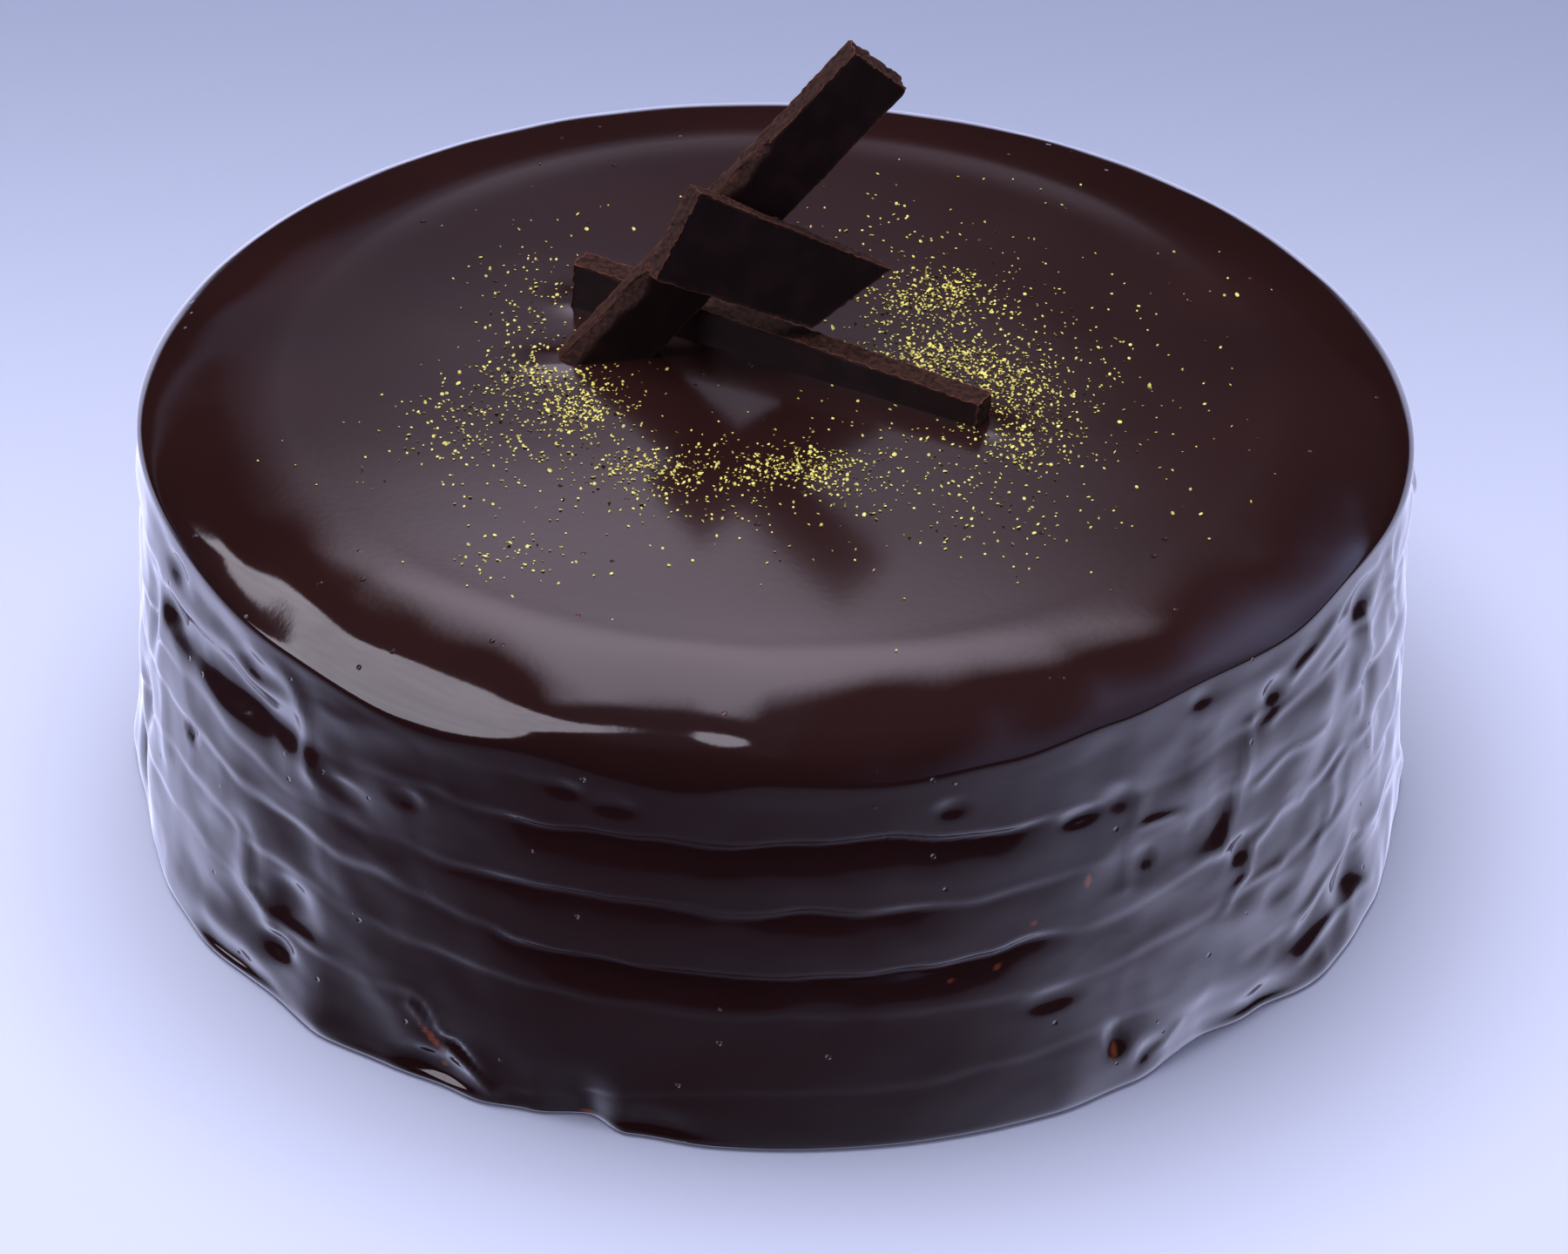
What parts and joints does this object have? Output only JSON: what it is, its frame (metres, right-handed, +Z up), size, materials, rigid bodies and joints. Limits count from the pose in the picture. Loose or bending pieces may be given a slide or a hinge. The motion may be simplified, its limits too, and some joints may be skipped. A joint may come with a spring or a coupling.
{
  "type": "glazed round cake",
  "caption": "Round single-tier cake under a poured dark glaze with comb-lapped sides, topped with broken dark chocolate bars and scattered gold grains.",
  "frame": {"origin": "centre of the resting face on the base plane", "axes": "+Z up, -Y the side the cake is seen from, +X to the right seen from there"},
  "size_m": [0.2445, 0.245, 0.1491],
  "materials": {
    "glaze": "wet gloss dark brown poured chocolate glaze",
    "dark_chocolate": "satin dark chocolate with crumbly broken edges",
    "gold_glitter": "edible gold flakes"
  },
  "bodies": {
    "root": {"glazed_cake": "glaze", "chocolate_bar_on_edge": "dark_chocolate", "chocolate_bar_leaning": "dark_chocolate", "chocolate_bar_across": "dark_chocolate"}
  },
  "joints": []
}
